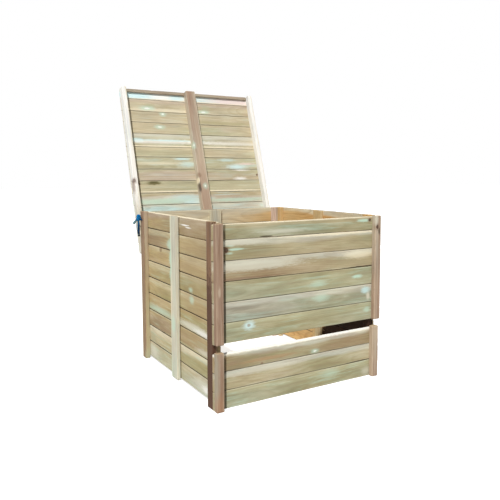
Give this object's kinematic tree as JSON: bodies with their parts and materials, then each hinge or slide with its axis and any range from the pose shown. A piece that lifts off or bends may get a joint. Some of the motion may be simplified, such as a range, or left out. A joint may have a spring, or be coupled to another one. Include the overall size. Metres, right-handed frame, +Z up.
{
  "type": "wooden compost bin with lid",
  "caption": "Square slatted wooden compost bin with a loose front hatch, a hand gap above it and a battened lid that leans open on rope ties.",
  "frame": {"origin": "on the ground, at the middle of the footprint of the whole object with its lid open", "axes": "+Z up, -Y towards the front with the hatch, +X to the right seen from the front"},
  "size_m": [1.05, 1.3792, 1.6714],
  "materials": {
    "side_board": "weathered",
    "front_board": "weathered",
    "post": "weathered",
    "batten": "weathered",
    "pale_batten": "weathered",
    "inside_wood": "weathered",
    "lid_board": "weathered",
    "lid_rim": "weathered",
    "lid_batten": "weathered",
    "lid_rail": "weathered",
    "rope": "satin"
  },
  "bodies": {
    "bin": {"left_front_post": "post", "left_rear_post": "post", "left_middle_batten": "pale_batten", "left_board_1": "side_board", "left_board_2": "side_board", "left_board_3": "side_board", "left_board_4": "side_board", "left_board_5": "side_board", "left_board_6": "side_board", "left_board_7": "side_board", "left_board_8": "side_board", "left_board_9": "side_board", "right_front_post": "inside_wood", "right_rear_post": "inside_wood", "right_boards": "inside_wood", "rear_left_batten": "batten", "rear_right_batten": "batten", "rear_boards": "inside_wood", "front_left_batten": "batten", "front_right_batten": "batten", "front_board_1": "front_board", "front_board_2": "front_board", "front_board_3": "front_board", "front_board_4": "front_board", "front_board_5": "front_board", "front_board_6": "front_board", "rope_left_knot": "rope", "rope_right_knot": "rope", "rope_left_strand": "rope", "rope_right_strand": "rope", "rope_left_tail": "rope"},
    "hatch": {"hatch_left_batten": "batten", "hatch_right_batten": "batten", "hatch_board_1": "front_board", "hatch_board_2": "front_board", "hatch_board_3": "front_board"},
    "lid": {"lid_left_rim": "lid_rim", "lid_right_rim": "lid_rim", "lid_middle_batten": "lid_batten", "lid_top_rail_left": "lid_rail", "lid_top_rail_right": "lid_rail", "lid_bottom_rail_left": "lid_rail", "lid_bottom_rail_right": "lid_rail", "lid_board_1": "lid_board", "lid_board_2": "lid_board", "lid_board_3": "lid_board", "lid_board_4": "lid_board", "lid_board_5": "lid_board", "lid_board_6": "lid_board", "lid_board_7": "lid_board", "lid_board_8": "lid_board", "lid_board_9": "lid_board", "lid_board_10": "lid_board", "lid_board_11": "lid_board", "lid_board_12": "lid_board", "lid_board_13": "lid_board", "lid_board_14": "lid_board"}
  },
  "joints": [
    {"name": "lid_hinge", "type": "hinge", "parent": "bin", "child": "lid", "pos_m": [0, 0.25079, 0.80627], "axis": [1, 0, 0], "range_deg": [0, 108.7]},
    {"name": "hatch_slide", "type": "slide", "parent": "bin", "child": "hatch", "axis": [0, -1, 0], "range_m": [0, 0.3]}
  ]
}
